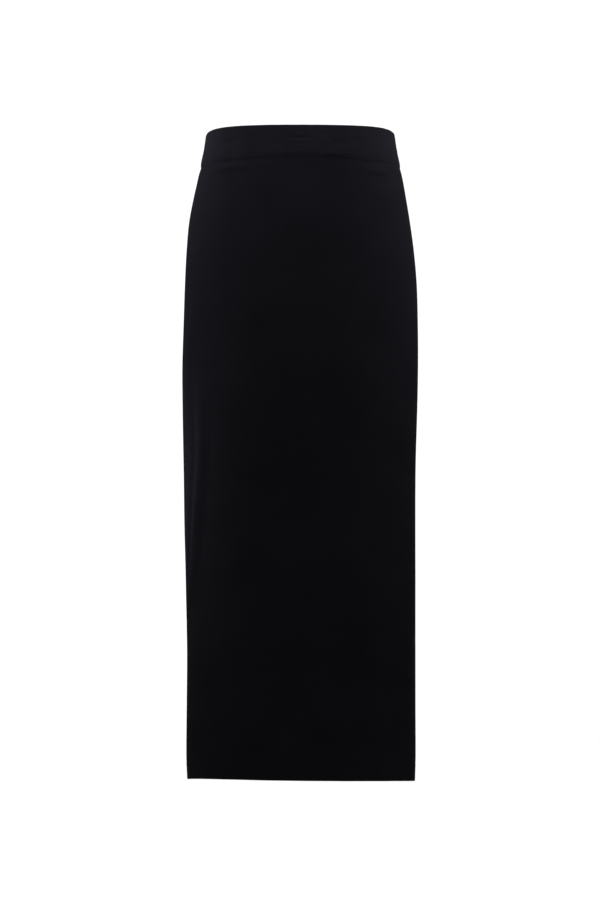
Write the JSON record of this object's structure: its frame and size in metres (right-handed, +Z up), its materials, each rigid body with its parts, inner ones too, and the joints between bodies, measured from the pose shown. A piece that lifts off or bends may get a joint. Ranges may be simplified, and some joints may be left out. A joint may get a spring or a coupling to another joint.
{
  "type": "pencil skirt",
  "caption": "Long black knit pencil skirt, filled out as worn: a folded waistband on a front and a back panel, hollow and open at the waist and the hem.",
  "frame": {"origin": "middle of the waist, half way up the waistband, where the wearer's waist holds the skirt", "axes": "+Z up along the skirt, -Y towards the front, +X to the right seen from the front; the depth from front to back is along Y"},
  "size_m": [0.3227, 0.2161, 0.8818],
  "materials": {
    "waistband_knit": "matt fine knit, folded double over elastic",
    "skirt_knit": "matt fine knit in one layer"
  },
  "bodies": {
    "root": {"waistband": "waistband_knit", "front_panel": "skirt_knit", "back_panel": "skirt_knit"}
  },
  "joints": []
}
